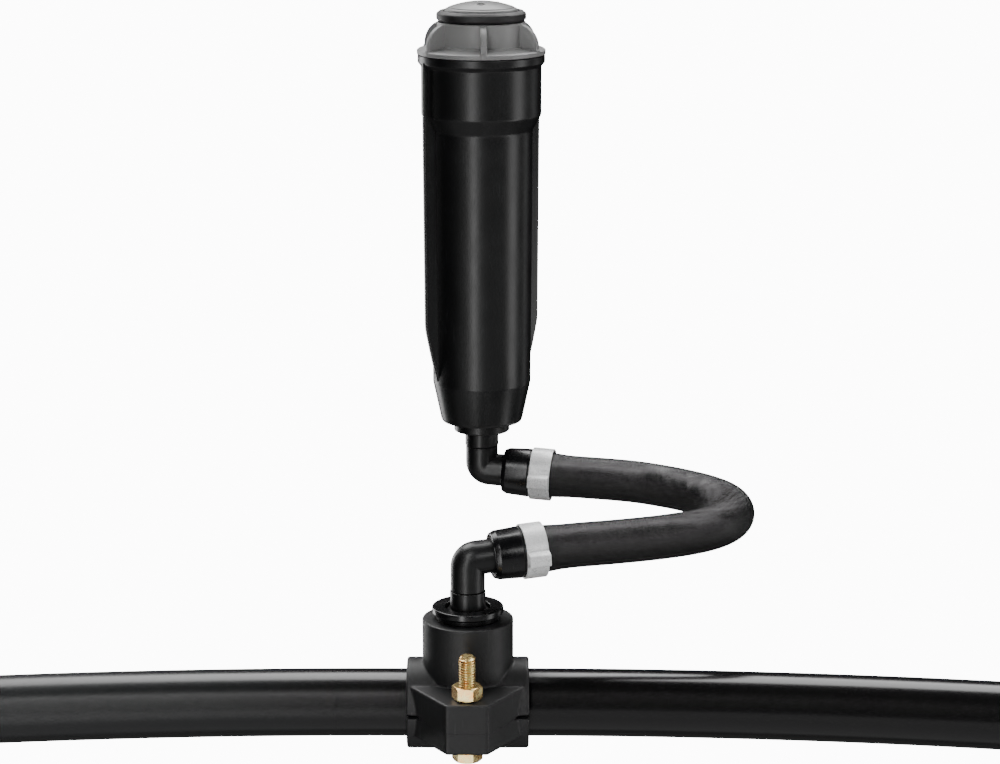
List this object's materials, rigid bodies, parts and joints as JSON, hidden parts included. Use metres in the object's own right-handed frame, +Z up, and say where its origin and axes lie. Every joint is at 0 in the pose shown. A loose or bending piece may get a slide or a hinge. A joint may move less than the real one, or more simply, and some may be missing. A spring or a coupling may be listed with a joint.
{
  "type": "pop up sprinkler on a swing joint",
  "caption": "Gear-driven pop up sprinkler fed by a hose swing joint from a bolted clamp saddle on a plastic supply pipe; the turret rises and turns under water pressure.",
  "frame": {"origin": "the flat strip on the saddle's underside, on the socket's vertical axis", "axes": "+Z up along the socket and the sprinkler; +X along the supply pipe; -Y towards the front bolt"},
  "size_m": [0.5022, 0.1874, 0.343],
  "materials": {
    "polyethylene": "extruded, slight gloss",
    "black_plastic": "fine moulded texture",
    "gloss_plastic": "glossy moulded",
    "hose_rubber": "reinforced hose, satin",
    "rubber": "matt rubber",
    "grey_plastic": "satin moulded",
    "yellow_zinc": "yellow zinc plated steel",
    "aluminium": "rolled strip",
    "steel": "spring and pin steel",
    "acetal": "natural acetal"
  },
  "bodies": {
    "saddle": {"supply_pipe": "polyethylene", "saddle_upper_half": "black_plastic", "saddle_lower_half": "black_plastic", "saddle_seal": "rubber", "saddle_bolt_front": "yellow_zinc", "saddle_bolt_rear": "yellow_zinc", "saddle_nut_front": "yellow_zinc", "saddle_nut_rear": "yellow_zinc", "reducer_bush": "gloss_plastic", "lower_nipple": "gloss_plastic"},
    "swing_arm": {"lower_elbow": "black_plastic", "lower_elbow_oring": "rubber", "lower_hose_cuff": "gloss_plastic", "lower_hose_clamp": "aluminium", "swing_hose": "hose_rubber", "upper_hose_cuff": "gloss_plastic", "upper_hose_clamp": "aluminium", "upper_elbow": "black_plastic", "upper_elbow_oring": "rubber"},
    "head": {"upper_nipple": "gloss_plastic", "sprinkler_case": "black_plastic", "screw_cap": "grey_plastic", "cap_oring": "rubber", "wiper_seal": "rubber", "retract_spring": "steel"},
    "riser": {"riser_tube": "black_plastic", "filter_basket": "acetal", "check_valve_seal": "rubber", "stator_plate": "acetal", "gearbox_canister": "acetal", "gearbox_lid": "acetal", "centre_pin": "steel", "offset_pin": "steel"},
    "turbine": {"turbine_wheel": "acetal", "turbine_pinion": "acetal"},
    "first_gear": {"first_gear": "acetal"},
    "second_gear": {"second_gear": "acetal"},
    "third_gear": {"third_gear": "acetal"},
    "turret": {"nozzle_turret": "black_plastic", "nozzle": "grey_plastic", "turret_lid": "grey_plastic", "output_gear": "acetal"},
    "radius_screw": {"radius_screw": "steel"},
    "arc_screw": {"arc_screw": "steel"}
  },
  "joints": [
    {"name": "swing_turn", "type": "hinge", "parent": "saddle", "child": "swing_arm", "pos_m": [0, 0, 0.077], "axis": [0, 0, 1], "range_deg": [-180, 180]},
    {"name": "head_turn", "type": "hinge", "parent": "swing_arm", "child": "head", "pos_m": [0.006, 0.112, 0.1188], "axis": [0, 0, 1], "range_deg": [-180, 180]},
    {"name": "riser_pop_up", "type": "slide", "parent": "head", "child": "riser", "axis": [0, 0, 1], "range_m": [0, 0.1], "stiffness_N_per_m": 220, "springref_m": -0.05, "deforming": ["retract_spring"]},
    {"name": "turret_turn", "type": "hinge", "parent": "riser", "child": "turret", "pos_m": [0.006, 0.112, 0.2897], "axis": [0, 0, 1], "continuous": true},
    {"name": "turbine_turn", "type": "hinge", "parent": "riser", "child": "turbine", "pos_m": [0.006, 0.112, 0.245], "axis": [0, 0, 1], "continuous": true},
    {"name": "first_gear_turn", "type": "hinge", "parent": "riser", "child": "first_gear", "pos_m": [0.01287, 0.112, 0.2545], "axis": [0, 0, 1], "continuous": true},
    {"name": "second_gear_turn", "type": "hinge", "parent": "riser", "child": "second_gear", "pos_m": [0.006, 0.112, 0.2585], "axis": [0, 0, 1], "continuous": true},
    {"name": "third_gear_turn", "type": "hinge", "parent": "riser", "child": "third_gear", "pos_m": [0.01287, 0.112, 0.2625], "axis": [0, 0, 1], "continuous": true},
    {"name": "radius_screw_turn", "type": "hinge", "parent": "turret", "child": "radius_screw", "pos_m": [0.006, 0.103, 0.335], "axis": [0, 0, 1], "range_deg": [-180, 180]},
    {"name": "arc_screw_turn", "type": "hinge", "parent": "turret", "child": "arc_screw", "pos_m": [0.013, 0.117, 0.32], "axis": [0, 0, 1], "range_deg": [-180, 180]}
  ],
  "couplings": [
    {"joint": "third_gear_turn", "follows": "turret_turn", "ratio": -2},
    {"joint": "second_gear_turn", "follows": "turret_turn", "ratio": 4},
    {"joint": "first_gear_turn", "follows": "turret_turn", "ratio": -8},
    {"joint": "turbine_turn", "follows": "turret_turn", "ratio": 16}
  ]
}
